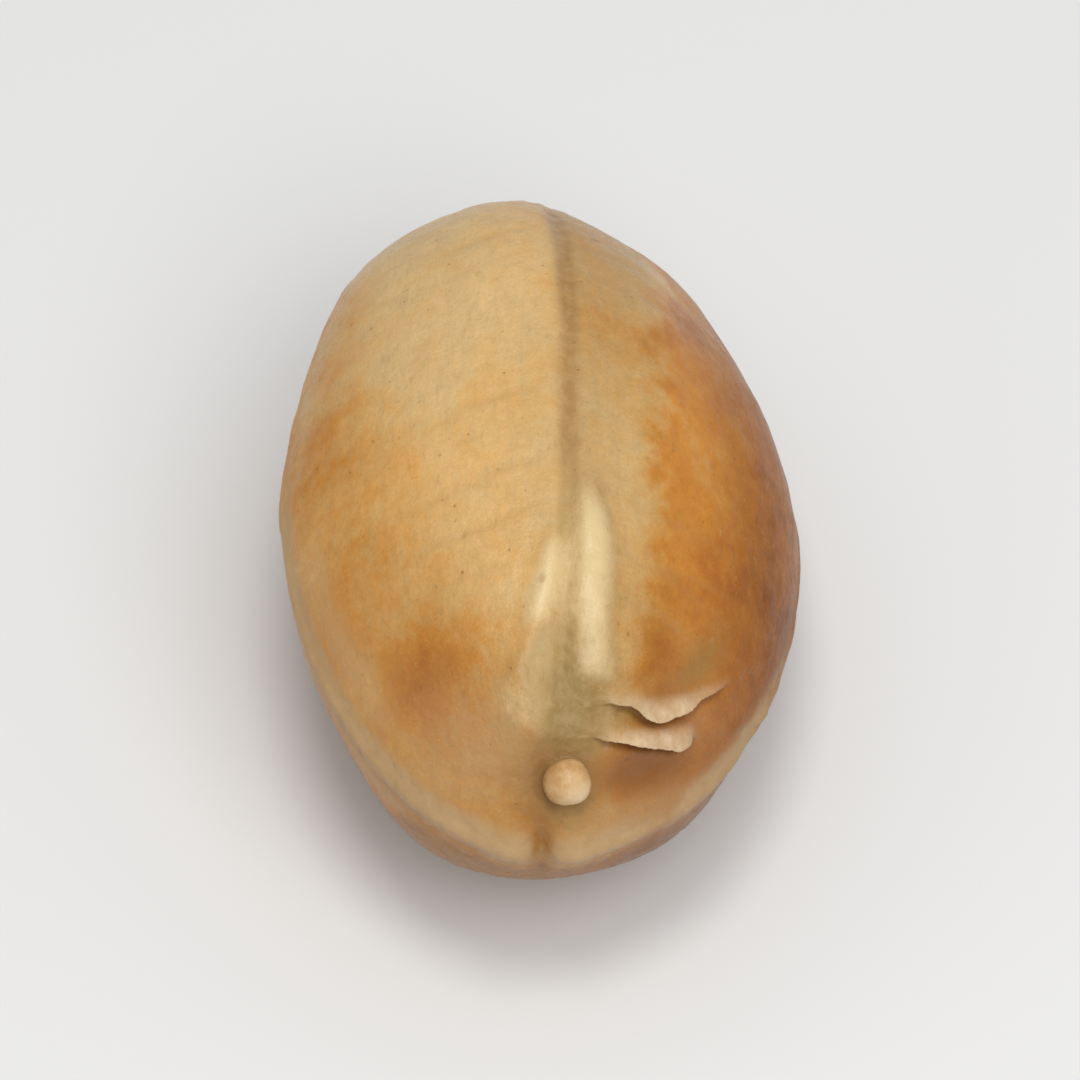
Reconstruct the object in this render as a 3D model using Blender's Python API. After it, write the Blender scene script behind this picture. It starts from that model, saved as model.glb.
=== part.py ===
"""Purging croton seed, a dry seed lying on its rounded back.

Frame: metres, +Z up. The origin is the middle of the underside. +Y runs from the hilum end to the
chalaza end, +X to the right of someone who looks along +Y. The flatter face with the raphe is on top.

Shapes are worked out in the seed's own axes, which differ from the frame only by the seed's small roll
and the height at which it lies. The fine grain of the coat is left to the surface finish.
"""

import math

import bmesh
import bpy
import numpy as np

MM = 0.001

# ---------------------------------------------------------------- driving dimensions, in metres
LENGTH = 12.40 * MM  # hilum end to chalaza end, without the ridges
WIDTH = 8.24 * MM  # across the two lateral keels
THICKNESS = 7.28 * MM  # raphe to back
KEEL_RISE = 0.20 * MM  # keel line above mid thickness, at mid length
ROLL = math.radians(8.0)  # the seed lies rolled a little to its right
REST_CUT = 0.10 * MM  # how deep the small flat on the back is worn in

ROOF_TOP = 0.055  # how four-sided the raphe face is, as a share of the radius
ROOF_BACK = 0.020  # the same for the rounded back

KEEL_HEIGHT = 0.140 * MM
KEEL_SIGMA = 0.26 * MM

RAPHE_DEPTH = 0.060 * MM  # the sunken line along the middle of the raphe face
RAPHE_SIGMA = 0.15 * MM
LEFT_LIP_HEIGHT = 0.14 * MM
RIGHT_LIP_HEIGHT = 0.205 * MM

BEAD_AT = np.array([-0.03, -5.76, 1.30]) * MM  # the pale bead, in the seed's own axes
BEAD_RADIUS = 0.375 * MM
BEAD_NECK = 112.0  # degrees of the bead's profile from its crown to its neck
BEAD_FLAT = 0.84  # how tall the bead is for its radius
BEAD_INNER, BEAD_OUTER = 0.40 * MM, 0.86 * MM  # coat drawn up into the bead, and coat moved with it

HILUM_AT = np.array([0.07, -4.98, 2.24]) * MM
HILUM_DEPTH = 0.065 * MM

HOLLOW_AT = np.array([1.24, -5.32, 1.09]) * MM
HOLLOW_DEPTH = 0.15 * MM

CHALAZA_AT = np.array([0.05, 5.93, 0.98]) * MM
CHALAZA_RADIUS = 0.42 * MM
CHALAZA_HEIGHT = 0.085 * MM

# the two torn edges of skin to the right of the hilum: each end of the free edge, how far its middle hangs
# down, how far the skin is lifted
UPPER_TEAR = (np.array([0.42, -4.97, 2.38]) * MM, np.array([2.88, -3.80, 1.50]) * MM, 0.22 * MM, 0.15 * MM)
LOWER_TEAR = (np.array([0.32, -5.36, 1.86]) * MM, np.array([2.25, -4.77, 1.18]) * MM, 0.07 * MM, 0.17 * MM)

GRID = 25  # quads along each side of the starting cube
CROWDING = 0.46  # how far the mesh is gathered towards the hilum end

COAT_COLOUR = (0.53, 0.31, 0.12, 1.0)
COAT_ROUGHNESS = 0.5

HALF = np.array([WIDTH, LENGTH, THICKNESS]) / 2.0


def bell(distance, sigma):
    return np.exp(-0.5 * (distance / sigma) ** 2)


def step(low, high, value):
    """0 below low, 1 above high, eased between."""
    t = np.clip((value - low) / (high - low), 0.0, 1.0)
    return t * t * (3.0 - 2.0 * t)


def apart(p, place):
    return np.linalg.norm(p - np.array(place) * MM, axis=1)


def raphe_x(y):
    """Where the raphe line runs: a little left of the middle at the hilum, easing to the right further on."""
    return (-0.17 + 0.36 * step(-3.5, 4.5, y / MM)) * MM


def left_lip(y):
    """(middle line, height, width) of the lip left of the raphe, which opens round the hilum and closes again."""
    towards = -y / MM
    opening = np.clip((towards - 1.6) / 2.9, 0.0, 1.2) ** 1.7
    x = raphe_x(y) + (-0.12 - 0.50 * opening + 0.42 * step(4.5, 5.5, towards)) * MM
    height = LEFT_LIP_HEIGHT * step(1.9, 3.1, towards) * (1.0 - 0.75 * bell(towards - 4.12, 0.26))
    height = height * (1.0 - 0.4 * step(4.3, 4.8, towards))
    height = height * (1.0 - step(5.10, 5.50, towards))
    return x, height, 0.17 * MM


def right_lip(y):
    """(middle line, height, width) of the larger lip right of the raphe, which ends bluntly above the hilum."""
    towards = -y / MM
    x = raphe_x(y) + (0.17 + 0.28 * step(0.1, 2.9, towards) - 0.05 * bell(towards - 3.7, 0.5)) * MM
    height = RIGHT_LIP_HEIGHT * step(0.8, 2.6, towards) * (1.0 - step(4.35, 4.90, towards))
    return x, height, 0.25 * MM


def body(n):
    """The plain body at unit directions n: an oval with a keel line, a roof-like top and a round back."""
    t = n[:, 1]
    ring = np.sqrt(np.clip(1.0 - t**2, 0.0, 1.0))
    safe = np.maximum(ring, 1e-9)
    u, v = n[:, 0] / safe, n[:, 2] / safe
    keel_z = KEEL_RISE * ring
    top = HALF[2] * ring**0.94 - keel_z
    back = HALF[2] * ring + keel_z
    high = np.where(v > 0.0, top, back)
    roof = np.where(v > 0.0, ROOF_TOP, ROOF_BACK)
    pull = 1.0 - roof * (2.0 * u * v) ** 2
    # full shoulders at the chalaza end, a slightly drawn-in hilum end, both ends bent to the left
    far, near = np.clip(t, 0.0, 1.0), np.clip(-t, 0.0, 1.0)
    wide = 1.0 - 0.030 * np.sin(math.pi * far) + 0.072 * bell(far - 0.84, 0.14) - 0.045 * step(0.35, 0.95, near)
    bow = (-0.10 * far**2 - 0.30 * far**12 - 0.22 * near**2.5) * MM
    return np.stack([HALF[0] * ring * wide * u * pull + bow, HALF[1] * t, keel_z + high * v * pull], 1), keel_z


def outward(n):
    """The body's outward direction at n, close enough for features a fraction of a millimetre tall."""
    g = n / HALF
    return g / np.linalg.norm(g, axis=1, keepdims=True)


def shoulders(p, top):
    """Slow swellings and dents of the dried seed."""
    height = 0.11 * bell(apart(p, (-1.6, 4.7, 1.9)), 1.40 * MM)
    height -= 0.11 * bell(apart(p, (1.0, 4.95, 1.9)), 0.85 * MM)
    height -= 0.07 * bell(apart(p, (2.4, 3.9, 2.0)), 1.0 * MM)
    height -= 0.05 * bell(apart(p, (-2.6, 1.4, 2.4)), 1.1 * MM)
    height += 0.20 * bell(apart(p, (-1.9, -5.0, -1.35)), 0.95 * MM)
    height += 0.20 * bell(apart(p, (2.0, -4.85, -1.30)), 0.95 * MM)
    x, y = p[:, 0] / MM, p[:, 1] / MM
    height += 0.05 * bell(x, 0.8) * (1.0 - top) * step(-5.6, -4.0, y) * (1.0 - step(4.0, 5.6, y))
    return height * MM


def keels(p, keel_z):
    """The two lateral keels, and the notch between two low lobes where they meet under the bead."""
    x, y, z = p.T / MM
    at_hilum = y < 0.0
    across = 0.27 + x + 0.08 * z
    notch = bell(across, 0.15) * at_hilum * bell(z - 0.16, 0.52)
    lobes = bell(np.abs(across) - 0.50, 0.32) * at_hilum * bell(z + 0.02, 0.36) * (1.0 - step(-0.6, 0.6, y))
    keel = bell(p[:, 2] - keel_z, KEEL_SIGMA)
    return KEEL_HEIGHT * keel * (1.0 - 0.9 * notch) + (0.095 * lobes - 0.13 * notch) * MM


def raphe(p, top):
    """The sunken raphe line, and near the hilum two lips with a shallow valley between them."""
    x, y = p[:, 0], p[:, 1]
    ends = step(-5.65, -5.2, y / MM) * (1.0 - step(4.9, 5.9, y / MM)) * top
    near = 1.0 - step(-2.8, -0.4, y / MM)
    left_x, left_h, left_w = left_lip(y)
    right_x, right_h, right_w = right_lip(y)
    height = left_h * bell(x - left_x, left_w) + right_h * np.exp(-0.5 * np.abs((x - right_x) / right_w) ** 2.8)
    off = x - raphe_x(y)
    height += 0.045 * MM * bell(off, 0.70 * MM) - RAPHE_DEPTH * bell(off, RAPHE_SIGMA) * (1.0 - 0.75 * near)
    return height * ends


def hilum(p, top):
    """The sunken oval scar between the lips."""
    q = (p - HILUM_AT) / MM
    around = np.sqrt((q[:, 0] / 0.48) ** 2 + ((0.75 * q[:, 1] - 0.66 * q[:, 2]) / 0.56) ** 2 + (q[:, 2] / 2.0) ** 2)
    return -HILUM_DEPTH * (1.0 - step(0.60, 1.30, around)) * top * (p[:, 1] < -3.5 * MM)


def hollow(p):
    """The torn hollow beside the bead."""
    q = (p - HOLLOW_AT) / MM
    return -HOLLOW_DEPTH * bell(q[:, 0], 0.60) * bell(q[:, 2] + 0.30 * q[:, 0], 0.235) * (p[:, 1] < 0.0)


def tear(p, left, right, hang, lift):
    """Skin that rises over a quarter of a millimetre towards a free lower edge, and drops below it."""
    along = (right - left) / np.linalg.norm(right - left)
    middle = (left + right) / 2.0 / HALF**2
    up = middle / np.linalg.norm(middle)
    down = np.cross(along, up)
    down = down / np.linalg.norm(down) * (-1.0 if down[2] > 0.0 else 1.0)
    share = ((p - left) @ along) / np.linalg.norm(right - left)
    below = (p - left) @ down - hang * np.sin(math.pi * np.clip(share, 0.0, 1.0))
    ends = step(-0.05, 0.30, share) * (1.0 - step(0.72, 1.05, share)) * (np.abs((p - left) @ up) < 1.2 * MM)
    slope = np.clip(1.0 + below / (0.36 * MM), 0.0, 1.0)
    return lift * ends * slope**1.5 * (1.0 - step(0.0, 0.10 * MM, below))


def chalaza(p):
    """A low ring with a sunken middle at the far end."""
    reach = np.linalg.norm(p - CHALAZA_AT, axis=1)
    return CHALAZA_HEIGHT * (bell(reach, CHALAZA_RADIUS) - bell(reach, 0.4 * CHALAZA_RADIUS))


def with_bead(p):
    """Draws the coat round the bead's foot up into a small ball on a short neck."""
    up = BEAD_AT / HALF**2
    up = up / np.linalg.norm(up)
    rise = (p - BEAD_AT) @ up
    flat = p - BEAD_AT - rise[:, None] * up
    r = np.linalg.norm(flat, axis=1)
    away = flat / np.maximum(r, 1e-12)[:, None]
    turn = np.clip(r / BEAD_INNER, 0.0, 1.0) * math.radians(BEAD_NECK)
    neck_r = BEAD_RADIUS * math.sin(math.radians(BEAD_NECK))
    neck_z = 0.03 * MM + BEAD_FLAT * BEAD_RADIUS * math.cos(math.radians(BEAD_NECK))
    blend = step(BEAD_INNER, BEAD_OUTER, r)
    moat = -0.10 * MM * bell(r - 0.48 * MM, 0.13 * MM)
    out_r = neck_r + (BEAD_OUTER - neck_r) * np.clip((r - BEAD_INNER) / (BEAD_OUTER - BEAD_INNER), 0.0, 1.0)
    out_z = neck_z * (1.0 - blend) + (rise + moat) * blend
    ball = r < BEAD_INNER
    new_r = np.where(ball, BEAD_RADIUS * np.sin(turn), out_r)
    new_z = np.where(ball, 0.03 * MM + BEAD_FLAT * BEAD_RADIUS * np.cos(turn), out_z)
    touched = (r < BEAD_OUTER) & (np.abs(rise) < 1.2 * MM) & (p[:, 1] < 0.0)
    return np.where(touched[:, None], BEAD_AT + new_r[:, None] * away + new_z[:, None] * up, p)


def seed_points(n):
    """The seed's surface, in its own axes, at unit directions n."""
    p, keel_z = body(n)
    top = step(-0.05, 0.25, n[:, 2])
    height = shoulders(p, top) + keels(p, keel_z) + raphe(p, top) + hilum(p, top) + hollow(p) + chalaza(p)
    height += np.maximum(tear(p, *UPPER_TEAR), tear(p, *LOWER_TEAR))
    return with_bead(p + outward(n) * height[:, None])


def gathered(n):
    """Unit directions moved towards the bead without shearing the grid."""
    pole = BEAD_AT / np.linalg.norm(BEAD_AT)
    cosine = n @ pole
    side = n - cosine[:, None] * pole
    length = np.linalg.norm(side, axis=1, keepdims=True)
    side = side / np.maximum(length, 1e-12)
    moved = (cosine + CROWDING) / (1.0 + CROWDING * cosine)
    return moved[:, None] * pole + np.sqrt(np.clip(1.0 - moved**2, 0.0, 1.0))[:, None] * side


def set_down(p):
    """Rolls the seed, wears the small flat it rests on and puts the middle of the underside at the origin."""
    c, s = math.cos(ROLL), math.sin(ROLL)
    p = np.stack([p[:, 0] * c + p[:, 2] * s, p[:, 1], p[:, 2] * c - p[:, 0] * s], 1)
    p[:, 2] = np.maximum(p[:, 2], p[:, 2].min() + REST_CUT)
    low, high = p.min(0), p.max(0)
    return p - np.array([0.5 * (low[0] + high[0]), 0.5 * (low[1] + high[1]), low[2]])


def seed_mesh():
    """A closed mesh: a cube's grid rounded to directions, each moved to the seed's surface."""
    bm = bmesh.new()
    bmesh.ops.create_cube(bm, size=2.0)
    bmesh.ops.subdivide_edges(bm, edges=bm.edges[:], cuts=GRID - 1, use_grid_fill=True)
    n = np.tan(np.array([vert.co[:] for vert in bm.verts]) * math.pi / 4.0)
    n = n / np.linalg.norm(n, axis=1, keepdims=True)
    for vert, place in zip(bm.verts, set_down(seed_points(gathered(n)))):
        vert.co = place
    bmesh.ops.recalc_face_normals(bm, faces=bm.faces[:])
    bmesh.ops.triangulate(bm, faces=bm.faces[:])
    mesh = bpy.data.meshes.new("croton_seed")
    bm.to_mesh(mesh)
    bm.free()
    mesh.shade_smooth()
    return mesh


def coat_material():
    material = bpy.data.materials.new("seed_coat")
    material.use_nodes = True
    material.diffuse_color = COAT_COLOUR
    shader = material.node_tree.nodes["Principled BSDF"]
    shader.inputs["Base Color"].default_value = COAT_COLOUR
    shader.inputs["Roughness"].default_value = COAT_ROUGHNESS
    shader.inputs["Metallic"].default_value = 0.0
    return material


def main():
    for obj in list(bpy.data.objects):
        bpy.data.objects.remove(obj, do_unlink=True)
    seed = bpy.data.objects.new("croton_seed", seed_mesh())
    seed.data.materials.append(coat_material())
    bpy.context.scene.collection.objects.link(seed)


main()
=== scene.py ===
"""The finished look of one purging croton seed lying on its rounded back, hilum end to the front.

Shapes are worked out in the seed's own axes, in millimetres: y along the seed from the hilum end (negative)
to the chalaza end, z up through the raphe, x across the keels. The seed is then rolled a little and set down.
"""

import math

import bmesh
import bpy
import numpy as np
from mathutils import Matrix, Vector


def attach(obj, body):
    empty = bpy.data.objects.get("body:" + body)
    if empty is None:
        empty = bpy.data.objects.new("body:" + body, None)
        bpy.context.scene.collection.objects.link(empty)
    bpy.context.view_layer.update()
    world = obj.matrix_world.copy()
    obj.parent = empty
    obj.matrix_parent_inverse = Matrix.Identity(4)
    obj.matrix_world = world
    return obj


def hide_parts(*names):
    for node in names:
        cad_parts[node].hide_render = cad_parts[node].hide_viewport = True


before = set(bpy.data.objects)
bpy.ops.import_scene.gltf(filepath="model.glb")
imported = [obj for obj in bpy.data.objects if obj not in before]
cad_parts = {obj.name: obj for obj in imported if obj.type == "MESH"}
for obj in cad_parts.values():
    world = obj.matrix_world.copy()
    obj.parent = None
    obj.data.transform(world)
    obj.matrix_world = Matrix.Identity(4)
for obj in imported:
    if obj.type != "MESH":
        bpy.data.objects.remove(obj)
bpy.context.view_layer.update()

# ---------------------------------------------------------------- sizes, in millimetres
HALF_LENGTH, HALF_WIDTH, HALF_THICK = 6.18, 4.12, 3.62
KEEL_RISE = 0.20
ROLL = math.radians(8.0)
REST_CUT = 0.10
ROOF_TOP, ROOF_BACK = 0.055, 0.020

BEAD_AT = np.array([-0.03, -5.76, 1.30])
BEAD_RADIUS = 0.375
HILUM_AT = np.array([0.07, -4.98, 2.24])
CHALAZA_AT = np.array([0.05, 5.93, 0.98])
HOLLOW_AT = np.array([1.24, -5.32, 1.09])

GRID = 126
CROWDING = 0.38

MM = 0.001


# ---------------------------------------------------------------- small helpers
def bell(distance, sigma):
    return np.exp(-0.5 * (distance / sigma) ** 2)


def step(low, high, value):
    t = np.clip((value - low) / (high - low), 0.0, 1.0)
    return t * t * (3.0 - 2.0 * t)


def lattice_noise(p, salt=0):
    """Smooth gradient noise, about -1 to 1, at points p."""
    cell = np.floor(p).astype(np.int64)
    f = p - cell
    w = f * f * f * (f * (f * 6.0 - 15.0) + 10.0)
    total = np.zeros(len(p))
    for dx in (0, 1):
        for dy in (0, 1):
            for dz in (0, 1):
                c = cell + np.array([dx, dy, dz])
                h = (c[:, 0] * 374761393 + c[:, 1] * 668265263 + c[:, 2] * 2246822519 + salt * 3266489917) & 0xFFFFFFFF
                h = ((h ^ (h >> 13)) * 1274126177) & 0xFFFFFFFF
                h = ((h ^ (h >> 16)) * 2654435761) & 0xFFFFFFFF
                h = h ^ (h >> 15)
                g = np.stack([h & 1023, (h >> 10) & 1023, (h >> 20) & 1023], 1) / 511.5 - 1.0
                d = f - np.array([dx, dy, dz])
                weight = np.ones(len(p))
                for axis, side in enumerate((dx, dy, dz)):
                    weight = weight * (w[:, axis] if side else 1.0 - w[:, axis])
                total += weight * (g * d).sum(1)
    return total * 1.25


def layered(p, octaves, salt=0, gain=0.5):
    total, size = np.zeros(len(p)), 1.0
    for k in range(octaves):
        total += size * lattice_noise(p * 2.0**k + 17.3 * k, salt + k)
        size *= gain
    return total


# where the two torn edges of skin right of the hilum start to lift, from left to right
UPPER_STRIP = [(0.42, -4.88, 2.52), (0.92, -4.69, 2.40), (1.36, -4.54, 2.18), (1.80, -4.34, 1.98), (2.28, -4.08, 1.82), (2.85, -3.70, 1.64)]
LOWER_STRIP = [(0.30, -5.21, 2.05), (0.80, -5.06, 1.94), (1.26, -4.90, 1.79), (1.72, -4.74, 1.63), (2.20, -4.55, 1.47)]


def through(knots, s):
    """A smooth curve through the knots at places s, from 0 to 1 (uniform Catmull-Rom)."""
    k = np.asarray(knots, float)
    k = np.concatenate([2 * k[:1] - k[1:2], k, 2 * k[-1:] - k[-2:-1]])
    at = np.clip(s, 0.0, 1.0) * (len(k) - 3)
    i = np.minimum(at.astype(int), len(k) - 4)
    f = (at - i)[:, None]
    a, b, c, d = k[i], k[i + 1], k[i + 2], k[i + 3]
    return 0.5 * (2 * b + (c - a) * f + (2 * a - 5 * b + 4 * c - d) * f**2 + (3 * b - a - 3 * c + d) * f**3)


# ---------------------------------------------------------------- the seed's shape
def raphe_x(y):
    """Where the raphe line runs: a little left of the middle at the hilum, easing to the right further on."""
    return -0.17 + 0.36 * step(-3.5, 4.5, y)


def left_lip(y):
    """(middle line, height, width) of the raised lip left of the raphe; it opens round the hilum and closes again."""
    opening = np.clip((-1.6 - y) / 2.9, 0.0, 1.2) ** 1.7
    x = raphe_x(y) - 0.12 - 0.50 * opening - 0.10 * bell(y + 4.45, 0.35) + 0.42 * step(4.5, 5.5, -y)
    height = 0.020 + 0.120 * step(1.9, 3.1, -y) - 0.105 * bell(y + 4.12, 0.26) - 0.055 * step(4.3, 4.8, -y)
    height = height * (1.0 - step(5.10, 5.50, -y)) * (1.0 - step(-0.5, 2.5, y) * 0.55)
    width = 0.090 + 0.060 * step(1.8, 3.2, -y) - 0.050 * step(3.8, 4.3, -y) + 0.130 * step(4.2, 4.9, -y)
    return x, height, width


def right_lip(y):
    """(middle line, height, width) of the larger lip right of the raphe, which ends bluntly above the hilum."""
    x = raphe_x(y) + 0.17 + 0.28 * step(0.1, 2.9, -y) - 0.05 * bell(y + 3.7, 0.5)
    height = 0.020 + 0.185 * step(0.8, 2.6, -y)
    height = height * (1.0 - step(4.35, 4.90, -y)) * (1.0 - step(-0.5, 2.5, y) * 0.55)
    width = 0.090 + 0.170 * step(0.5, 2.8, -y)
    return x, height, width


def body(n):
    """The plain body at unit directions n: an oval with a keel line, a roof-like top and a round back."""
    t = n[:, 1]
    ring = np.sqrt(np.clip(1.0 - t**2, 0.0, 1.0))
    safe = np.maximum(ring, 1e-9)
    u, v = n[:, 0] / safe, n[:, 2] / safe
    keel_z = KEEL_RISE * ring
    top = HALF_THICK * ring**0.94 - keel_z
    back = HALF_THICK * ring + keel_z
    high = np.where(v > 0.0, top, back)
    roof = np.where(v > 0.0, ROOF_TOP, ROOF_BACK)
    pull = 1.0 - roof * (2.0 * u * v) ** 2
    # fuller shoulders at the chalaza end, a slightly drawn-in hilum end
    far, near = np.clip(t, 0.0, 1.0), np.clip(-t, 0.0, 1.0)
    wide = 1.0 - 0.030 * np.sin(math.pi * far) + 0.072 * bell(far - 0.84, 0.14) - 0.045 * step(0.35, 0.95, near)
    wide = HALF_WIDTH * ring * wide
    # both ends bend to the left
    bow = -0.10 * far**2 - 0.30 * far**12 - 0.22 * near**2.5
    p = np.stack([wide * u * pull + bow, HALF_LENGTH * t, keel_z + high * v * pull], 1)
    return p, keel_z


class TornEdge:
    """A place where the outer skin is torn: it lifts towards a free lower edge that hangs over a crease."""

    def __init__(self, knots, widths, lifts, salt):
        self.s = np.linspace(0.0, 1.0, 100)
        self.line = through(knots, self.s)
        flat = np.stack([self.s, self.s * 0, self.s * 0], 1)
        wide = through(np.array(widths)[:, None], self.s)[:, 0]
        self.wide = wide * (1.0 + 0.14 * lattice_noise(flat * 6.0 + salt, salt)) + 0.022 * layered(flat * 17.0 + salt, 2, salt + 1)
        self.lift = through(np.array(lifts)[:, None], self.s)[:, 0] * (1.0 + 0.15 * lattice_noise(flat * 9.0 + salt, salt + 3))
        out = self.line / np.array([HALF_WIDTH, HALF_LENGTH, HALF_THICK]) ** 2
        self.out = out / np.linalg.norm(out, axis=1, keepdims=True)
        along = np.gradient(self.line, axis=0)
        self.along = along / np.linalg.norm(along, axis=1, keepdims=True)
        down = np.cross(self.along, self.out)
        down /= np.linalg.norm(down, axis=1, keepdims=True)
        self.down = down * np.where((down[:, 2] > 0.0)[:, None], -1.0, 1.0)

    def read(self, p):
        """(which points are near, distance below the free edge, width, lift, direction down the surface)."""
        close = np.where((np.abs(p - self.line.mean(0)) < np.array([2.2, 1.6, 1.6])).all(1))[0]
        apart_from = np.linalg.norm(p[close][:, None, :] - self.line[None, :, :], axis=2)
        k = apart_from.argmin(1)
        beside = p[close] - self.line[k]
        across = (beside * self.down[k]).sum(1)
        past = np.abs((beside * self.along[k]).sum(1)) * ((k == 0) | (k == len(self.s) - 1))
        fade = step(0.0, 0.13, self.s)[k] * step(0.0, 0.16, 1.0 - self.s)[k] * bell(past, 0.10)
        return close, across - self.wide[k], self.wide[k], self.lift[k] * fade, self.down[k]

    def gather(self, p):
        """Draws the mesh closer together along the free edge."""
        close, below, _, _, down = self.read(p)
        p = p.copy()
        p[close] -= down * (0.60 * below * bell(below, 0.13))[:, None]
        return p

    def shape(self, p):
        """(rise, push down the surface, lifted skin, painted shadow in the crease) at points p."""
        close, below, wide, lift, down = self.read(p)
        rise, push = np.zeros(len(p)), np.zeros((len(p), 3))
        skin, crease = np.zeros(len(p)), np.zeros(len(p))
        share = np.clip(lift / 0.16, 0.0, 1.2)
        slope = np.clip((below + wide + 0.06) / (wide + 0.06), 0.0, 1.0)
        edge = 1.0 - step(0.0, 0.030, below)
        rise[close] = lift * slope**1.5 * edge - 0.085 * share * bell(below - 0.085, 0.062) * (1.0 - edge)
        push[close] = down * (0.085 * share * bell(below, 0.060) * edge - 0.020 * share * bell(below - 0.05, 0.03) * (1.0 - edge))[:, None]
        skin[close] = share * step(0.20, 0.95, slope) * edge
        crease[close] = share * bell(below - 0.070, 0.065) * (1.0 - edge)
        return rise, push, np.clip(skin, 0.0, 1.0), np.clip(crease, 0.0, 1.0)


UPPER_EDGE = TornEdge(UPPER_STRIP, [0.17, 0.22, 0.40, 0.31, 0.20, 0.15], [0.05, 0.11, 0.17, 0.16, 0.07, 0.03], 11)
LOWER_EDGE = TornEdge(LOWER_STRIP, [0.18, 0.23, 0.29, 0.33, 0.31], [0.04, 0.13, 0.19, 0.20, 0.14], 23)


def outward(n):
    g = n / np.array([HALF_WIDTH, HALF_LENGTH, HALF_THICK])
    return g / np.linalg.norm(g, axis=1, keepdims=True)


def apart(p, place, stretch=(1.0, 1.0, 1.0)):
    return np.linalg.norm((p - np.array(place)) / np.array(stretch), axis=1)


def side_veins(p, off, top):
    """Faint veins that leave the raphe on both sides and slant towards the hilum end."""
    x, y, z = p.T
    reach = np.abs(off)
    total = np.zeros(len(p))
    bend = 0.22 * lattice_noise(p / 1.5 + 8.3, 71)
    for k in range(9):
        for side in (-1.0, 1.0):
            start = -3.55 + 1.02 * k + 0.28 * side + 0.25 * math.sin(2.1 * k + side)
            run = y - (start - (0.26 + 0.05 * math.sin(1.7 * k)) * reach + bend)
            length = 1.5 + 0.9 * math.sin(3.1 * k + 1.3 * side) ** 2
            strength = 0.6 + 0.4 * math.sin(5.3 * k + 2.0 * side)
            fade = step(0.22, 0.55, reach) * (1.0 - step(0.55 * length, 1.35 * length, reach))
            total += (np.sign(off) == side) * strength * fade * bell(run, 0.050 + 0.012 * reach)
            fork = y - (start - 0.36 - 0.02 * reach + bend)
            fade = step(0.9, 1.25, reach) * (1.0 - step(0.9 * length, 1.5 * length, reach))
            total += (np.sign(off) == side) * 0.6 * strength * fade * bell(fork, 0.040)
    return total * top


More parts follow.
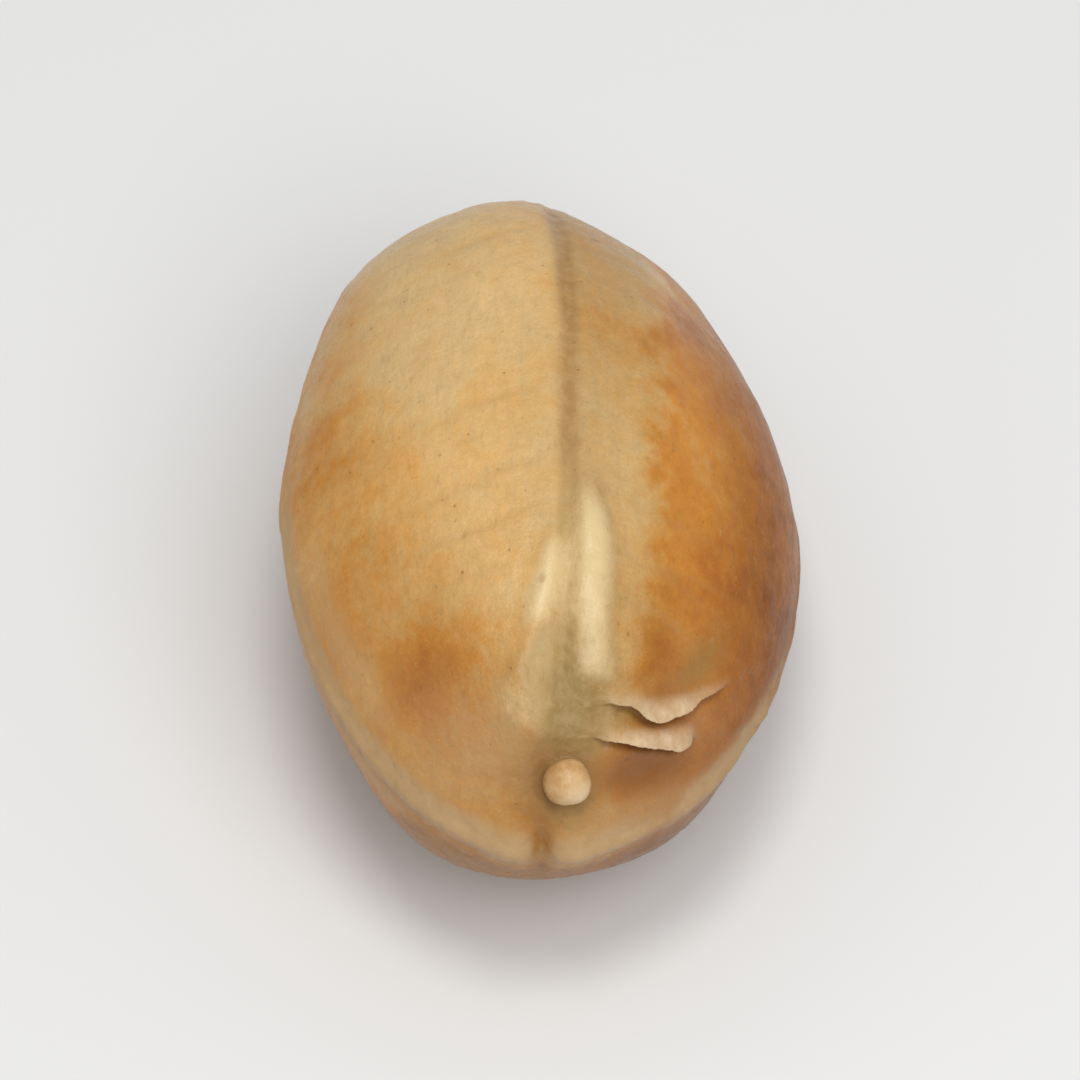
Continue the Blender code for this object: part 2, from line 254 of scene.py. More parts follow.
def shaped(n):
    """(points, fields): the finished surface at unit directions n, and what the coat's colour reads there."""
    p, keel_z = body(n)
    p = LOWER_EDGE.gather(UPPER_EDGE.gather(p))
    out = outward(n)
    x, y, z = p.T
    top = step(-0.05, 0.25, n[:, 2])
    front = 1.0 - step(-0.6, 0.6, y)
    height = np.zeros(len(p))

    # slow unevenness of a dried seed, a full left shoulder and a flattened right one
    height += 0.050 * lattice_noise(p / 3.4 + 3.1, 1)
    height += 0.020 * layered(p / 1.25 + 9.7, 2, 5)
    height += 0.0065 * layered(p / np.array([0.50, 0.80, 0.50]) + 6.1, 2, 7)
    shoulder = step(-5.4, -3.6, y) * (1.0 - step(3.4, 5.4, y)) * top
    height += shoulder * (0.050 * bell(x - 1.30 - 0.10 * y * (y > 0.0), 0.36) - 0.022 * bell(x - 0.72, 0.26))
    height += shoulder * 0.030 * bell(x + 2.35, 0.55)
    height += 0.11 * bell(apart(p, (-1.6, 4.7, 1.9)), 1.40)
    height -= 0.11 * bell(apart(p, (1.0, 4.95, 1.9)), 0.85)
    height -= 0.07 * bell(apart(p, (2.4, 3.9, 2.0)), 1.0)
    height -= 0.05 * bell(apart(p, (-2.6, 1.4, 2.4)), 1.1)
    height += 0.20 * bell(apart(p, (-1.9, -5.0, -1.35)), 0.95) + 0.20 * bell(apart(p, (2.0, -4.85, -1.30)), 0.95)
    height += 0.05 * bell(x, 0.8) * (1.0 - top) * step(-5.6, -4.0, y) * (1.0 - step(4.0, 5.6, y))

    # lateral keels, a narrow worn line on a broad base, broken where they meet under the bead
    from_keel = z - keel_z - 0.05 * lattice_noise(p / 1.7, 21)
    wear = 0.75 + 0.35 * lattice_noise(p / 0.6, 23)
    keel = bell(from_keel, 0.105) * wear
    notch_x = x + 0.27 + 0.08 * z
    notch = bell(notch_x, 0.12 + 0.06 * step(0.0, 0.8, z)) * (y < 0.0) * bell(z - 0.16, 0.52)
    lobes = bell(np.abs(notch_x) - 0.50, 0.32) * (y < 0.0) * bell(z + 0.02, 0.36) * front
    height += (0.085 * keel + 0.060 * bell(from_keel, 0.42)) * (1.0 - 0.9 * notch)
    height += 0.095 * lobes - 0.13 * notch

    # raphe: a fine sunken line over most of the length, two lips with a valley between them near the hilum
    wander = 0.030 * lattice_noise(np.stack([y * 0.8, y * 0, y * 0], 1) + 0.37, 31)
    off = x - raphe_x(y) - wander
    ends = step(-5.65, -5.2, y) * (1.0 - step(4.9, 5.9, y)) * top
    near = 1.0 - step(-2.8, -0.4, y)
    uneven = 1.0 + 0.30 * lattice_noise(p / 0.50, 33)
    lx, lh, lw = left_lip(y)
    rx, rh, rw = right_lip(y)
    lip_left = bell(x - lx - wander, lw)
    lip_right = np.exp(-0.5 * np.abs((x - rx - wander) / rw) ** 2.8)
    line = bell(off - 0.02, 0.135)
    ragged = wander + 0.075 * layered(p / 0.33 + 7.7, 2, 35)
    valley = near * step(-0.06, 0.16, x - lx - ragged) * step(-0.06, 0.16, rx + ragged - x)
    height += ends * ((rh * lip_right + lh * lip_left) * uneven + 0.045 * bell(off, 0.70) - 0.020 * valley)
    height -= ends * line * 0.070 * (1.0 - 0.75 * near)
    height += 0.016 * valley * ends * layered(p / np.array([0.22, 0.34, 0.22]) + 3.3, 2, 39)

    veins = side_veins(p, off, top)
    height -= 0.010 * veins

    # hilum: a sunken oval scar between the lips, finely wrinkled
    q = p - HILUM_AT
    around = np.sqrt((q[:, 0] / 0.48) ** 2 + ((q[:, 1] * 0.75 + q[:, 2] * -0.66) / 0.56) ** 2 + (q[:, 2] / 2.0) ** 2)
    around += 0.20 * layered(p / 0.42 + 1.9, 2, 40)
    hilum = (1.0 - step(0.60, 1.30, around)) * top * (y < -3.5)
    height -= 0.065 * hilum
    height += 0.034 * hilum * layered(p / np.array([0.30, 0.19, 0.19]), 3, 41, 0.6)

    # a torn hollow beside the bead, where the outer skin has come away; the red-brown painted in it is partly the layer
    # beneath and partly painted shadow under the lifted skin
    q = p - HOLLOW_AT
    hollow = bell(q[:, 0], 0.60) * bell(q[:, 2] + 0.30 * q[:, 0], 0.235) * (y < 0.0)
    height -= 0.15 * hollow
    torn_rise, torn_push = np.zeros(len(p)), np.zeros((len(p), 3))
    skin, crease = np.zeros(len(p)), np.zeros(len(p))
    for edge in (UPPER_EDGE, LOWER_EDGE):
        rise, push, lifted, shaded = edge.shape(p)
        if edge is UPPER_EDGE:
            shaded = shaded * (0.40 + 0.60 * step(1.2, 1.9, x))
        torn_rise, torn_push = torn_rise + rise, torn_push + push
        skin, crease = np.maximum(skin * (1.0 - shaded), lifted), np.maximum(crease * (1.0 - lifted), shaded)

    # chalaza: a low ring with a sunken middle and short folds round it
    reach = np.linalg.norm(p - CHALAZA_AT, axis=1)
    chalaza = bell(reach, 0.42)
    height += 0.085 * chalaza - 0.085 * bell(reach, 0.17)
    folds = np.sin(9.0 * np.arctan2(x - CHALAZA_AT[0], z - CHALAZA_AT[2]) + 2.0 * lattice_noise(p / 0.8, 43))
    height += 0.012 * folds * bell(reach - 0.62, 0.30) * (y > 0.0)

    # fine wrinkles towards both ends and on the flanks, lengthwise striae, shallow pits
    ends_only = step(0.62, 0.98, np.abs(y) / HALF_LENGTH)
    wrinkle = 1.0 - np.abs(layered(p / np.array([0.55, 0.55, 0.55]) + 11.0, 2, 45)) * 2.2
    wrinkle = np.clip(wrinkle, 0.0, 1.0) ** 2
    height -= (0.004 + 0.010 * ends_only) * wrinkle
    striae = layered(p / np.array([0.17, 1.6, 0.17]) + 5.0, 2, 51)
    grain = layered(p / 0.22 + 2.0, 2, 55)
    pits = np.minimum(0.0, lattice_noise(p / np.array([0.22, 0.30, 0.22]) + 7.0, 59) + 0.50)
    height += (0.0060 * striae + 0.0055 * grain + 0.055 * pits) * (1.0 - 0.8 * hilum)

    q0 = p + out * (height * (1.0 - 0.35 * skin) + torn_rise)[:, None] + torn_push

    # the bead: the points round its foot are drawn up into a small ball on a short neck
    foot = BEAD_AT
    up = np.array([[foot[0] / HALF_WIDTH**2, foot[1] / HALF_LENGTH**2, foot[2] / HALF_THICK**2]])
    up = (up / np.linalg.norm(up))[0]
    from_foot = q0 - foot
    rise = from_foot @ up
    flat = from_foot - rise[:, None] * up
    r = np.linalg.norm(flat, axis=1)
    along = flat / np.maximum(r, 1e-9)[:, None]
    inner, outer = 0.40, 0.86
    turn = np.clip(r / inner, 0.0, 1.0) * math.radians(112.0)
    lumpy = 1.0 + 0.13 * layered(q0 / 0.46 + 4.0, 2, 61, 0.35)
    ball_r, ball_z = BEAD_RADIUS * np.sin(turn) * lumpy, 0.03 + 0.84 * BEAD_RADIUS * np.cos(turn) * lumpy
    blend = step(inner, outer, r)
    neck_r = BEAD_RADIUS * math.sin(math.radians(112.0))
    out_r = neck_r + (outer - neck_r) * np.clip((r - inner) / (outer - inner), 0.0, 1.0)
    moat = -0.10 * bell(r - 0.48, 0.13)
    ring_z = (0.03 + 0.84 * BEAD_RADIUS * math.cos(math.radians(112.0))) * (1.0 - blend) + (rise + moat) * blend
    new_r = np.where(r < inner, ball_r, out_r)
    new_z = np.where(r < inner, ball_z, ring_z)
    touched = (r < outer) & (np.abs(rise) < 1.2) & (y < 0.0)
    ball = foot + new_r[:, None] * along + new_z[:, None] * up
    q1 = np.where(touched[:, None], ball, q0)

    bead = np.where(touched, 1.0 - step(inner * 0.80, inner * 1.02, r), 0.0)
    lopsided = 0.62 - 0.42 * along[:, 0] - 0.16 * along[:, 2] + 0.30 * layered(q0 / 0.35 + 2.2, 2, 63)
    ring = np.where((y < 0.0), bell(r - 0.47, 0.105 + 0.045 * np.clip(lopsided, 0.0, 1.0)), 0.0) * np.clip(lopsided, 0.25, 1.0) * (1.0 - bead)
    halo = 0.62 * bell(r - 0.58, 0.26) * np.clip(0.25 - 1.1 * along[:, 0], 0.0, 1.0) + 0.08 * bell(apart(p, (-0.08, -6.02, 0.74), (0.85, 0.5, 0.42)), 0.85)
    ring = np.maximum(ring, halo * (y < 0.0) * (1.0 - bead))
    # a painted highlight on the bead's right side
    bead_highlight = bead * bell(apart(q1, foot + np.array([0.17, -0.28, 0.04])), 0.17)

    # ------------------------------------------------ colour fields
    shove = 0.45 * np.stack([lattice_noise(p / 1.1 + k, 80 + k) for k in (1, 2, 3)], 1)
    large = layered((p + shove) / 2.3 + 1.7, 3, 85)
    middle = layered((p + shove) / 0.72 + 4.1, 3, 90, 0.6)

    # 0 is tan, a half is orange, 1 is copper brown
    lowered = from_keel + 0.75 * step(0.8, 2.8, -x) * step(-5.6, -4.6, y)
    # painted shade: the underside below the keels is darkened
    under_painted_shade = step(-0.12, -0.62, lowered)
    flank = step(0.95, 1.75, x - 0.28 * step(-2.0, 2.5, y) - 0.30 * step(2.0, 4.0, y) + 0.24 * step(3.2, 3.9, -y) + 0.16 * middle + 0.22 * large)
    warm = 0.13 + 0.44 * flank + 0.27 * step(2.1, 3.7, x)
    warm += 0.20 * step(2.4, 3.8, -x + 0.35 * large) + 0.07 * step(-1.0, -2.0, y)
    warm += 0.45 * bell(apart(p, (-2.2, -4.1, 1.83), (1.0, 0.95, 1.1)), 0.66)
    warm += 0.12 * bell(apart(p, (-3.1, -2.0, 1.9)), 0.80)
    warm += 0.17 * bell(apart(p, (-3.6, 0.5, 1.5)), 0.70)
    warm += 0.22 * bell(apart(p, (2.2, 2.6, 2.3), (0.55, 1.0, 1.0)), 0.7)
    warm += 0.10 * step(-3.2, -5.2, y) * (1.0 - hilum)
    warm += 0.13 * step(0.0, 0.35, off) * (1.0 - step(1.2, 1.9, off)) * step(-0.6, 1.6, y)
    warm -= 0.07 * bell(apart(p, (-1.3, 3.2, 2.8)), 1.5)
    warm -= 0.08 * bell(x + 0.9, 0.75) * step(-4.6, -3.0, y) * (1.0 - step(2.0, 4.0, y)) * top
    warm += 0.26 * (1.0 - step(-0.55, 0.30, n[:, 2]))
    warm += 0.20 * large + 0.13 * middle
    # pale lips, partly their own paler skin and partly a painted highlight
    lips_left = step(0.03, 0.15, lh) * bell(x - lx - wander, 1.25 * lw)
    lips_left = np.maximum(lips_left * (1.0 - step(4.2, 4.5, -y)), 0.47 * step(4.30, 4.8, -y) * (1.0 - step(5.0, 5.4, -y)) * bell(x - lx - wander + 0.09, 0.75 * lw))
    lips = np.clip(ends * (step(0.03, 0.21, rh) * bell(x - rx - wander, 0.95 * rw) + lips_left), 0.0, 1.0)
    top_edge = step(-0.9, -0.5, from_keel)
    # the lower margins along the keels are pale and rubbed towards the hilum end
    margin = np.maximum(bell(from_keel - 0.10, 0.24), 0.75 * bell(from_keel, 0.12))
    margin = np.maximum(margin, 0.74 * bell(lowered, 0.45) * step(1.5, 3.0, -x) * top_edge)
    margin *= 0.30 + 0.70 * step(1.6, 4.0, -y + 3.1 * step(0.0, 1.0, -x))
    # duller right and left of the raphe; painted shade darkens the hilum end and the outer right flank, and painted
    # light lifts the middle of the right flank
    dull_and_painted_shade = 0.90 * step(0.0, 0.35, off) * (1.0 - step(1.3, 1.9, off)) * top
    dull_and_painted_shade += 0.45 * bell(off + 0.50, 0.40) * step(-3.0, -2.0, y) * (1.0 - step(0.5, 2.5, y)) * top
    dull_and_painted_shade = dull_and_painted_shade * (1.0 - 0.35 * step(3.2, 4.2, -y)) + 0.55 * step(2.0, 4.8, -y) * (1.0 - 0.6 * step(1.9, 3.0, np.abs(x)))
    dull_and_painted_shade += 0.45 * bell(apart(p, (-2.35, -2.9, 2.3)), 0.75) + 0.50 * bell(apart(p, (-0.85, -5.15, 1.85)), 0.75)
    dull_and_painted_shade += 0.50 * step(2.1, 3.0, x) * top - 0.45 * bell(apart(p, (1.75, -0.9, 2.9), (0.60, 2.4, 0.8)), 1.0)
    left_rim = bell(from_keel - 0.78, 0.36) * step(2.0, 3.0, -x) * step(0.6, 1.7, -y) * (1.0 - 0.5 * step(4.2, 5.2, -y))
    margin = np.maximum(margin, 0.40 * left_rim)
    warm -= 0.16 * left_rim
    rub = 0.80 + 0.35 * middle + 0.25 * large
    rubbed_spots = layered((p + shove) / np.array([0.9, 1.5, 0.9]) + 21.0, 4, 97, 0.6)
    fields = {
        "f_warm": warm,
        "f_shade": 0.5 + 0.30 * middle + 0.22 * large - 0.15 * flank * step(0.5, -2.5, y) - dull_and_painted_shade,
        "f_margin": np.clip(margin * rub * (1.0 - notch), 0.0, 1.0),
        "f_line": np.clip(ends * line * (1.0 - 0.6 * near) * (1.0 + 0.25 * step(1.0, 3.0, y)), 0.0, 1.0),
        "f_lips_and_highlight": lips,
        "f_outer": step(1.7, 3.3, np.abs(x)),
        "f_rough": np.clip(hilum + 0.5 * valley * ends + 0.35 * bell(apart(p, (-0.1, -5.2, 1.8)), 0.75), 0.0, 1.0),
        "f_valley": np.clip(ends * (valley + 0.5 * near * bell(off, 0.16)), 0.0, 1.0) * (1.0 - lips),
        "f_veins": np.clip(veins, 0.0, 1.0),
        "f_hilum": hilum * (1.0 - 0.65 * lips),
        "f_bead": bead,
        "f_bead_highlight": bead_highlight,
        "f_ring": np.clip(ring + 0.56 * notch * front, 0.0, 1.0) * (1.0 - bead),
        "f_hollow_shadow": np.clip(1.15 * hollow, 0.0, 1.0),
        # rosier, greyer tone beside the bead and low on the front, partly a painted reflection of the front light
        "f_mauve_and_reflection": np.clip(bell(apart(p, (-1.35, -5.02, 1.30), (1.25, 0.75, 0.75)), 0.85) + 0.45 * bell(apart(p, (-3.0, -3.2, 1.0), (0.8, 1.3, 0.8)), 0.9) + 0.9 * bell(apart(p, (1.55, -5.62, 0.62), (0.9, 0.5, 0.30)), 0.9) + 0.55 * bell(apart(p, (1.9, -4.8, 1.45), (1.0, 0.8, 0.6)), 0.8), 0.0, 1.0) * (y < 0.0),
        "f_keel": bell(from_keel + 0.19, 0.075) * (1.0 - notch) * (0.5 + 0.5 * front),
        # painted shade below the keels, strongest towards the hilum end
        "f_under_painted_shade": under_painted_shade * (0.40 + 0.60 * step(1.5, 4.8, -y)),
        # painted shade: dark olive along the step above the upper torn edge and in the pocket between the torn edges
        "f_olive_shade": 0.7 * bell(apart(p, (2.25, -3.85, 1.95), (0.75, 0.5, 0.16)), 0.9) + 0.75 * bell(apart(p, (0.86, -4.96, 2.08), (0.42, 0.20, 0.20)), 0.85),
        # painted shadow in the crease under each torn edge
        "f_crease_painted_shadow": crease,
        "f_chalaza": chalaza,
        "f_patch": np.clip(0.30 + 0.55 * rubbed_spots - 0.55 * step(-0.55, 0.05, n[:, 2]), 0.0, 1.0),
        "f_pits": np.clip(-pits * 3.0, 0.0, 1.0),
        "f_skin": np.clip(skin, 0.0, 1.0),
        "f_wrinkle": wrinkle * (0.35 + 0.65 * ends_only),
    }
    return q1, fields


def seed_directions():
    """A cube's grid rounded to unit directions, gathered a little towards the hilum end."""
    bm = bmesh.new()
    bmesh.ops.create_cube(bm, size=2.0)
    bmesh.ops.subdivide_edges(bm, edges=bm.edges[:], cuts=GRID - 1, use_grid_fill=True)
    bmesh.ops.recalc_face_normals(bm, faces=bm.faces[:])
    mesh = bpy.data.meshes.new("croton_seed_coat")
    bm.to_mesh(mesh)
    bm.free()
    n = np.empty(len(mesh.vertices) * 3)
    mesh.vertices.foreach_get("co", n)
    n = np.tan(n.reshape(-1, 3) * math.pi / 4.0)
    n /= np.linalg.norm(n, axis=1, keepdims=True)
    pole = BEAD_AT / np.linalg.norm(BEAD_AT)
    cosine = n @ pole
    side = n - cosine[:, None] * pole
    length = np.linalg.norm(side, axis=1, keepdims=True)
    side = np.where(length > 1e-9, side / np.maximum(length, 1e-9), 0.0)
    moved = (cosine + CROWDING) / (1.0 + CROWDING * cosine)
    n = moved[:, None] * pole + np.sqrt(np.clip(1.0 - moved**2, 0.0, 1.0))[:, None] * side
    return mesh, n / np.linalg.norm(n, axis=1, keepdims=True)


def rolled(p):
    c, s = math.cos(ROLL), math.sin(ROLL)
    return np.stack([p[:, 0] * c + p[:, 2] * s, p[:, 1], -p[:, 0] * s + p[:, 2] * c], 1)


def set_down(p, shift=None):
    """Rolls the seed, wears the small flat it rests on and puts its box where the CAD solid's is."""
    p = rolled(p)
    if shift is None:
        low, high = p.min(0), p.max(0)
        shift = np.array([-0.5 * (low[0] + high[0]), -0.5 * (low[1] + high[1]), -low[2] - REST_CUT])
    p = p + shift
    soft = 0.012
    p[:, 2] = np.where(p[:, 2] > 0.25, p[:, 2], soft * np.logaddexp(0.0, p[:, 2] / soft))
    return p, shift


def add_field(mesh, name, values):
    layer = mesh.attributes.new(name, "FLOAT", "POINT")
    layer.data.foreach_set("value", np.asarray(values, np.float32))


def make_seed():
    mesh, n = seed_directions()
    p, fields = shaped(n)
    p, shift = set_down(p)
    mesh.vertices.foreach_set("co", (p * MM).ravel())
    for name, values in fields.items():
        add_field(mesh, name, values)
    mesh.update()
    mesh.shade_smooth()
    seed = bpy.data.objects.new("croton_seed_coat", mesh)
    bpy.context.scene.collection.objects.link(seed)
    return seed, shift


# ---------------------------------------------------------------- materials
class Nodes:
    """Short calls for building one material."""

    def __init__(self, name):
        self.material = bpy.data.materials.new(name)
        self.material.use_nodes = True
        self.tree = self.material.node_tree
        self.tree.nodes.clear()
        self.out = self.tree.nodes.new("ShaderNodeOutputMaterial")
        self.shader = self.tree.nodes.new("ShaderNodeBsdfPrincipled")
        self.tree.links.new(self.shader.outputs["BSDF"], self.out.inputs["Surface"])
        coords = self.tree.nodes.new("ShaderNodeTexCoord")
        self.mm = self.vector("SCALE", coords.outputs["Object"], scale=1000.0)

    def put(self, socket, value):
        if isinstance(value, bpy.types.NodeSocket):
            self.tree.links.new(value, socket)
        elif isinstance(value, tuple) and len(value) == 3 and socket.type == "RGBA":
            socket.default_value = (*value, 1.0)
        else:
            socket.default_value = value

    def vector(self, operation, a, b=None, scale=None):
        node = self.tree.nodes.new("ShaderNodeVectorMath")
        node.operation = operation
        self.put(node.inputs[0], a)
        if b is not None:
            self.put(node.inputs[1], b)
        if scale is not None:
            self.put(node.inputs["Scale"], scale)
        return node.outputs[0]

    def math(self, operation, a, b=0.0, clamp=False):
        node = self.tree.nodes.new("ShaderNodeMath")
        node.operation = operation
        node.use_clamp = clamp
        self.put(node.inputs[0], a)
        self.put(node.inputs[1], b)
        return node.outputs[0]

    def noise(self, at, scale, detail=3.0, rough=0.5, colour=False):
        node = self.tree.nodes.new("ShaderNodeTexNoise")
        self.put(node.inputs["Vector"], at)
        node.inputs["Scale"].default_value = scale
        node.inputs["Detail"].default_value = detail
        node.inputs["Roughness"].default_value = rough
        return node.outputs["Color" if colour else "Fac"]

    def cells(self, at, scale, feature="F1", output="Distance", randomness=1.0):
        node = self.tree.nodes.new("ShaderNodeTexVoronoi")
        node.feature = feature
        self.put(node.inputs["Vector"], at)
        node.inputs["Scale"].default_value = scale
        node.inputs["Randomness"].default_value = randomness
        return node.outputs[output]

    def field(self, name):
        node = self.tree.nodes.new("ShaderNodeAttribute")
        node.attribute_name = name
        return node.outputs["Fac"]

    def range(self, value, low, high, to_low=0.0, to_high=1.0):
        node = self.tree.nodes.new("ShaderNodeMapRange")
        node.interpolation_type = "SMOOTHSTEP"
        for name, number in (("From Min", low), ("From Max", high), ("To Min", to_low), ("To Max", to_high)):
            node.inputs[name].default_value = number
        self.put(node.inputs["Value"], value)
        return node.outputs["Result"]

    def ramp(self, value, stops):
        node = self.tree.nodes.new("ShaderNodeValToRGB")
        elements = node.color_ramp.elements
        while len(elements) < len(stops):
            elements.new(0.5)
        for element, (place, colour) in zip(elements, stops):
            element.position = place
            element.color = (*colour, 1.0)
        self.put(node.inputs["Fac"], value)
        return node.outputs["Color"]

    def mix(self, factor, a, b, blend="MIX"):
        node = self.tree.nodes.new("ShaderNodeMix")
        node.data_type = "RGBA"
        node.blend_type = blend
        self.put(node.inputs["Factor"], factor)
        self.put(node.inputs[6], a)
        self.put(node.inputs[7], b)
        return node.outputs[2]

    def bump(self, height, distance_mm, normal=None, strength=1.0):
        node = self.tree.nodes.new("ShaderNodeBump")
        node.inputs["Strength"].default_value = strength
        node.inputs["Distance"].default_value = distance_mm * MM
        self.put(node.inputs["Height"], height)
        if normal is not None:
            self.put(node.inputs["Normal"], normal)
        return node.outputs["Normal"]


def coat_material():
    m = Nodes("seed_coat")
    at = m.mm
    small = m.noise(at, 4.6, 4.0, 0.62)
    grain = m.noise(at, 19.0, 3.0, 0.62)
    streak = m.noise(m.vector("MULTIPLY", at, (7.0, 0.9, 7.0)), 1.0, 3.0, 0.6)
    fleck = m.noise(m.vector("MULTIPLY", at, (8.5, 4.0, 8.5)), 1.0, 4.0, 0.72)
    rough_skin = m.field("f_rough")

    # tan on the shoulders of the raphe face, orange to copper down the flanks
    warm = m.math("ADD", m.field("f_warm"), m.math("MULTIPLY", m.math("SUBTRACT", small, 0.5), 0.30))
    warm = m.math("ADD", warm, m.math("MULTIPLY", m.math("SUBTRACT", fleck, 0.5), 0.34))
    warm = m.math("ADD", warm, m.math("MULTIPLY", m.math("SUBTRACT", streak, 0.5), 0.18), clamp=True)
    colour = m.ramp(
        warm,
        [
            (0.00, (0.735, 0.490, 0.205)),
            (0.24, (0.670, 0.380, 0.120)),
            (0.50, (0.560, 0.225, 0.028)),
            (0.75, (0.425, 0.138, 0.011)),
            (1.00, (0.240, 0.070, 0.008)),
        ],
    )
    # cloudy shade, fine grain and faint lengthwise streaks
    shade = m.math("ADD", m.math("MULTIPLY", m.field("f_shade"), 0.24), m.math("MULTIPLY", grain, 0.28))
    shade = m.math("ADD", shade, m.math("MULTIPLY", streak, 0.26))
    shade = m.math("ADD", shade, m.math("MULTIPLY", fleck, 0.24))
    shade = m.math("SUBTRACT", shade, 0.01)
    colour = m.mix(1.0, colour, m.ramp(shade, [(0.0, (0.5, 0.5, 0.5)), (1.0, (1.5, 1.5, 1.5))]), "MULTIPLY")

    # pale and brown flecks, strongest where the skin is rough; pores, wrinkles and side veins
    strength = m.range(rough_skin, 0.0, 1.0, 0.20, 0.50)
    colour = m.mix(m.math("MULTIPLY", m.range(fleck, 0.58, 0.72), strength), colour, (0.700, 0.510, 0.235))
    colour = m.mix(m.math("MULTIPLY", m.range(fleck, 0.42, 0.28), strength), colour, (0.270, 0.140, 0.040))
    pores = m.range(m.cells(at, 4.4), 0.17, 0.05)
    pores = m.math("MULTIPLY", pores, m.range(small, 0.46, 0.66))
    colour = m.mix(m.math("MULTIPLY", pores, 0.60), colour, (0.230, 0.105, 0.028))
    colour = m.mix(m.math("MULTIPLY", m.field("f_wrinkle"), 0.24), colour, (0.330, 0.170, 0.050))
    colour = m.mix(m.math("MULTIPLY", m.field("f_veins"), 0.24), colour, (0.430, 0.255, 0.090))

    # fine dark specks on the flanks and the back
    specks = m.range(m.noise(m.vector("MULTIPLY", at, (15.0, 7.5, 15.0)), 1.0, 2.0, 0.55), 0.66, 0.76)
    specks = m.math("MULTIPLY", specks, m.range(warm, 0.30, 0.70))
    colour = m.mix(m.math("MULTIPLY", specks, 0.42), colour, (0.175, 0.072, 0.018))
    # duller, rosier tone beside the bead, partly a painted reflection of the front light; painted shade below the keels
    colour = m.mix(m.math("MULTIPLY", m.field("f_mauve_and_reflection"), m.range(fleck, 0.3, 0.7, 0.75, 0.45)), colour, (0.470, 0.255, 0.110))
    colour = m.mix(m.math("MULTIPLY", m.field("f_under_painted_shade"), m.range(small, 0.3, 0.7, 0.72, 0.48)), colour, (0.215, 0.088, 0.020))

    # raphe: darker line, olive valley, pale lips, partly their own paler colour and partly a painted highlight
    colour = m.mix(m.math("MULTIPLY", m.field("f_line"), m.range(small, 0.30, 0.62, 0.62, 0.82)), colour, (0.335, 0.170, 0.046))
    colour = m.mix(m.math("MULTIPLY", m.field("f_valley"), m.range(fleck, 0.35, 0.65, 0.45, 0.82)), colour, (0.415, 0.295, 0.115))
    lips = m.math("ADD", m.field("f_lips_and_highlight"), m.math("MULTIPLY", m.math("SUBTRACT", fleck, 0.5), 0.55))
    colour = m.mix(m.range(lips, 0.12, 1.05, 0.0, 0.88), colour, (0.755, 0.580, 0.300))
    # the rubbed lower margins along the keels
    rubbed = m.math("ADD", m.field("f_margin"), m.math("MULTIPLY", m.math("SUBTRACT", small, 0.5), 0.42))
    rubbed = m.math("ADD", rubbed, m.math("MULTIPLY", m.math("SUBTRACT", fleck, 0.5), 0.30))
    rubbed = m.range(rubbed, 0.08, 0.80)
    colour = m.mix(m.math("MULTIPLY", rubbed, 0.80), colour, m.mix(small, (0.400, 0.250, 0.114), (0.570, 0.400, 0.218)))
    colour = m.mix(m.math("MULTIPLY", m.field("f_keel"), m.range(fleck, 0.35, 0.65, 0.15, 0.50)), colour, (0.270, 0.135, 0.042))
    # torn skin, paler towards its free edge; painted shadow in the crease under it
    lifted = m.mix(m.range(small, 0.28, 0.68), (0.610, 0.405, 0.215), (0.790, 0.610, 0.385))
    colour = m.mix(m.math("MULTIPLY", m.field("f_skin"), 0.84), colour, lifted)
    colour = m.mix(m.math("MULTIPLY", m.field("f_crease_painted_shadow"), 0.90), colour, (0.150, 0.062, 0.016))
    # hilum scar, ring and notch, painted shade by the torn edges, torn hollow with painted shadow, bead with a painted
    # highlight, chalaza
    colour = m.mix(m.math("MULTIPLY", m.field("f_olive_shade"), 0.75), colour, (0.235, 0.150, 0.040))
    colour = m.mix(m.math("MULTIPLY", m.field("f_hilum"), m.range(fleck, 0.3, 0.7, 0.90, 0.62)), colour, (0.300, 0.188, 0.058))
    colour = m.mix(m.math("MULTIPLY", m.field("f_ring"), 0.76), colour, (0.185, 0.080, 0.014))
    colour = m.mix(m.math("MULTIPLY", m.field("f_hollow_shadow"), 0.90), colour, (0.262, 0.096, 0.018))
    bead = m.mix(m.range(m.math("ADD", m.math("MULTIPLY", small, 0.6), m.math("MULTIPLY", fleck, 0.4)), 0.36, 0.64), (0.500, 0.270, 0.095), (0.620, 0.390, 0.170))
    # painted highlight on the bead's right side
    bead = m.mix(m.math("MULTIPLY", m.field("f_bead_highlight"), 0.75), bead, (0.830, 0.620, 0.380))
    colour = m.mix(m.field("f_bead"), colour, bead)
    colour = m.mix(m.math("MULTIPLY", m.field("f_chalaza"), 0.6), colour, (0.430, 0.270, 0.110))
    # shallow pits hold a little dust
    colour = m.mix(m.math("MULTIPLY", m.field("f_pits"), 0.34), colour, (0.270, 0.140, 0.042))

    # on the back a few rubbed spots show the dark layer under the thin outer skin
    patch = m.math("ADD", m.field("f_patch"), m.math("MULTIPLY", m.math("SUBTRACT", small, 0.5), 0.55))
    patch = m.math("ADD", patch, m.math("MULTIPLY", m.math("SUBTRACT", fleck, 0.5), 0.50))
    patch = m.range(patch, 0.47, 0.70)
    dark = m.mix(small, (0.110, 0.062, 0.028), (0.200, 0.130, 0.068))
    colour = m.mix(m.math("MULTIPLY", patch, 0.62), colour, dark)

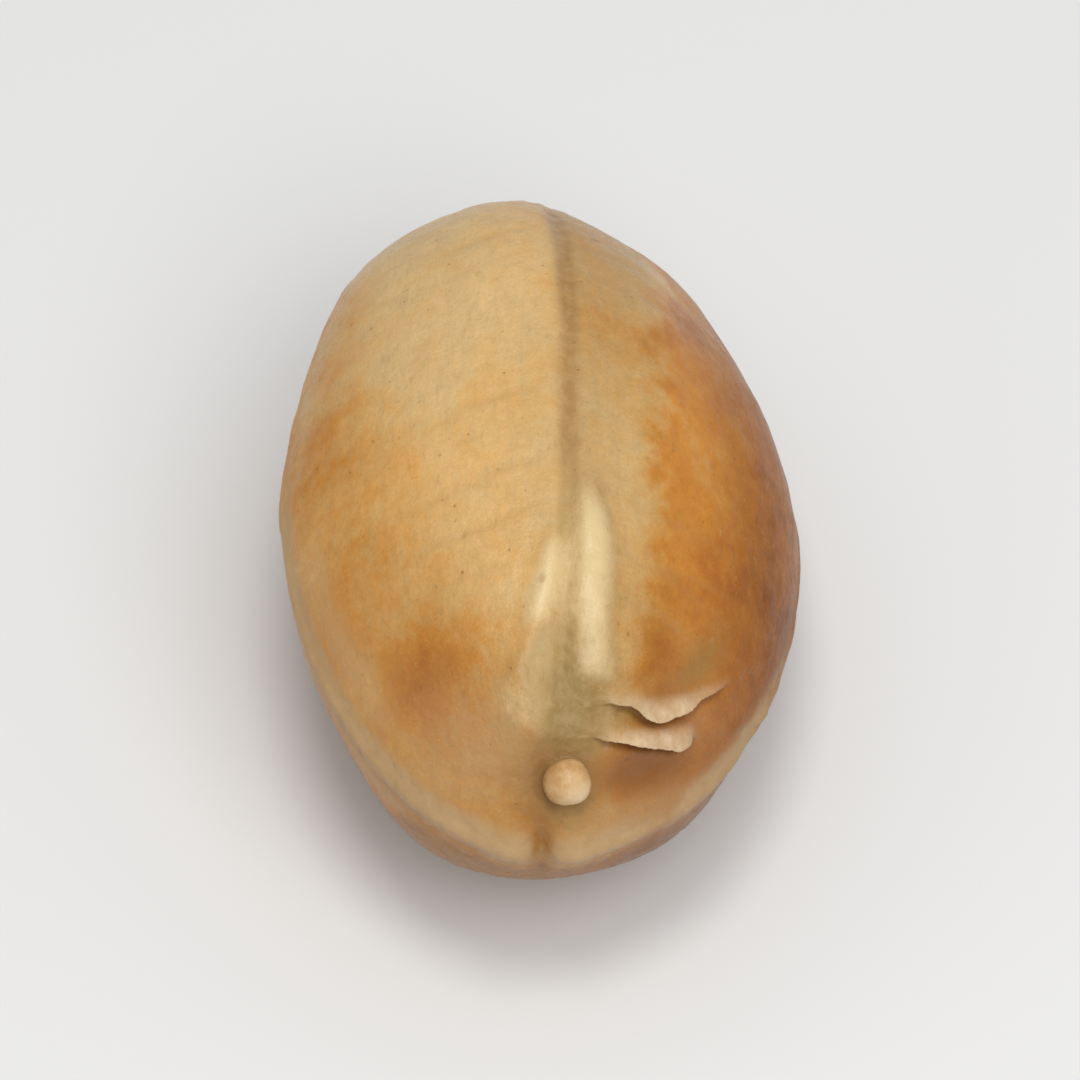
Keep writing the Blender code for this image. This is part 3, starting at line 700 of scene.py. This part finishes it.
    m.put(m.shader.inputs["Base Color"], colour)
    rough = m.math("ADD", m.math("MULTIPLY", grain, 0.20), m.math("MULTIPLY", small, 0.22))
    rough = m.math("ADD", rough, 0.10)
    rough = m.math("ADD", rough, m.math("MULTIPLY", rough_skin, 0.10))
    rough = m.math("ADD", rough, m.math("MULTIPLY", rubbed, 0.08))
    glossy = m.math("ADD", m.math("ADD", m.field("f_lips_and_highlight"), m.field("f_bead")), m.field("f_skin"))
    rough = m.math("SUBTRACT", rough, m.math("MULTIPLY", m.field("f_bead"), 0.10))
    rough = m.math("SUBTRACT", rough, m.math("MULTIPLY", glossy, 0.07), clamp=True)
    m.put(m.shader.inputs["Roughness"], rough)
    # the outer flanks are a little duller than the face
    m.put(m.shader.inputs["Specular IOR Level"], m.math("ADD", m.math("MULTIPLY", m.field("f_outer"), -0.20), 0.33))

    relief = m.math("ADD", m.math("MULTIPLY", m.noise(at, 8.0, 4.0, 0.65), 0.60), m.math("MULTIPLY", streak, 0.40))
    normal = m.bump(relief, 0.026)
    fine = m.math("ADD", m.math("MULTIPLY", grain, 0.7), m.math("MULTIPLY", fleck, 0.9))
    fine = m.math("SUBTRACT", fine, m.math("MULTIPLY", pores, 0.8))
    normal = m.bump(fine, 0.011, normal)
    m.put(m.shader.inputs["Normal"], normal)
    return m.material


def floor_material():
    m = Nodes("pale_floor")
    m.shader.inputs["Base Color"].default_value = (0.80, 0.80, 0.785, 1.0)
    m.shader.inputs["Roughness"].default_value = 0.45
    m.shader.inputs["Specular IOR Level"].default_value = 0.3
    return m.material


# ---------------------------------------------------------------- camera, light, floor
VIEW_ELEVATION, VIEW_AZIMUTH = 53.0, -3.0
FRAME_HEIGHT = 17.4  # millimetres across the square picture at the seed
LENS = 400.0


def back_vector():
    e, a = math.radians(VIEW_ELEVATION), math.radians(VIEW_AZIMUTH)
    return Vector((math.sin(a) * math.cos(e), -math.cos(a) * math.cos(e), math.sin(e)))


def add_camera():
    data = bpy.data.cameras.new("view")
    data.lens = LENS
    data.sensor_width = 36.0
    data.clip_start, data.clip_end = 0.005, 20.0
    camera = bpy.data.objects.new("view", data)
    bpy.context.scene.collection.objects.link(camera)
    target = Vector((0.0, 0.0, 3.6 * MM))
    back = back_vector()
    camera.location = target + back * (FRAME_HEIGHT * MM * LENS / 36.0)
    camera.rotation_mode = "QUATERNION"
    camera.rotation_quaternion = (-back).to_track_quat("-Z", "Y")
    bpy.context.scene.camera = camera


def add_area(name, size, place, aim, power, colour=(1.0, 1.0, 1.0)):
    data = bpy.data.lights.new(name, "AREA")
    data.shape = "DISK"
    data.size = size
    data.energy = power
    data.color = colour
    lamp = bpy.data.objects.new(name, data)
    lamp.location = place
    lamp.rotation_mode = "QUATERNION"
    lamp.rotation_quaternion = (Vector(aim) - Vector(place)).to_track_quat("-Z", "Y")
    lamp.visible_camera = False
    bpy.context.scene.collection.objects.link(lamp)
    return lamp


def add_stage():
    half = 1.5
    mesh = bpy.data.meshes.new("floor")
    mesh.from_pydata([(-half, -half, 0), (half, -half, 0), (half, half, 0), (-half, half, 0)], [], [(0, 1, 2, 3)])
    mesh.materials.append(floor_material())
    floor = bpy.data.objects.new("floor", mesh)
    bpy.context.scene.collection.objects.link(floor)
    add_area("key", 0.038, (-0.002, -0.014, 0.116), (0, 0, 0.003), 0.038, (1.0, 0.985, 0.96))
    add_area("front", 0.110, (0.034, -0.082, 0.122), (0, 0, 0.003), 0.095, (1.0, 0.99, 0.975))
    world = bpy.data.worlds.new("studio")
    world.use_nodes = True
    tree = world.node_tree
    background = tree.nodes["Background"]
    background.inputs["Strength"].default_value = 0.49
    # a soft dome of light, a little dimmer low down, where it meets the floor
    coords = tree.nodes.new("ShaderNodeTexCoord")
    parts = tree.nodes.new("ShaderNodeSeparateXYZ")
    dome = tree.nodes.new("ShaderNodeMapRange")
    dome.interpolation_type = "SMOOTHSTEP"
    for name, number in (("From Min", 0.02), ("From Max", 0.55), ("To Min", 0.0), ("To Max", 1.0)):
        dome.inputs[name].default_value = number
    tint = tree.nodes.new("ShaderNodeMix")
    tint.data_type = "RGBA"
    tint.inputs[6].default_value = (0.815, 0.822, 0.840, 1.0)
    tint.inputs[7].default_value = (0.975, 0.995, 1.045, 1.0)
    tree.links.new(coords.outputs["Generated"], parts.inputs[0])
    tree.links.new(parts.outputs["Z"], dome.inputs["Value"])
    tree.links.new(dome.outputs["Result"], tint.inputs["Factor"])
    tree.links.new(tint.outputs[2], background.inputs["Color"])
    scene = bpy.context.scene
    scene.world = world
    scene.view_settings.view_transform = "Standard"
    scene.view_settings.look = "None"


def main():
    add_camera()
    add_stage()
    seed, shift = make_seed()
    seed.data.materials.append(coat_material())
    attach(seed, "root")
    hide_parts("croton_seed")


main()
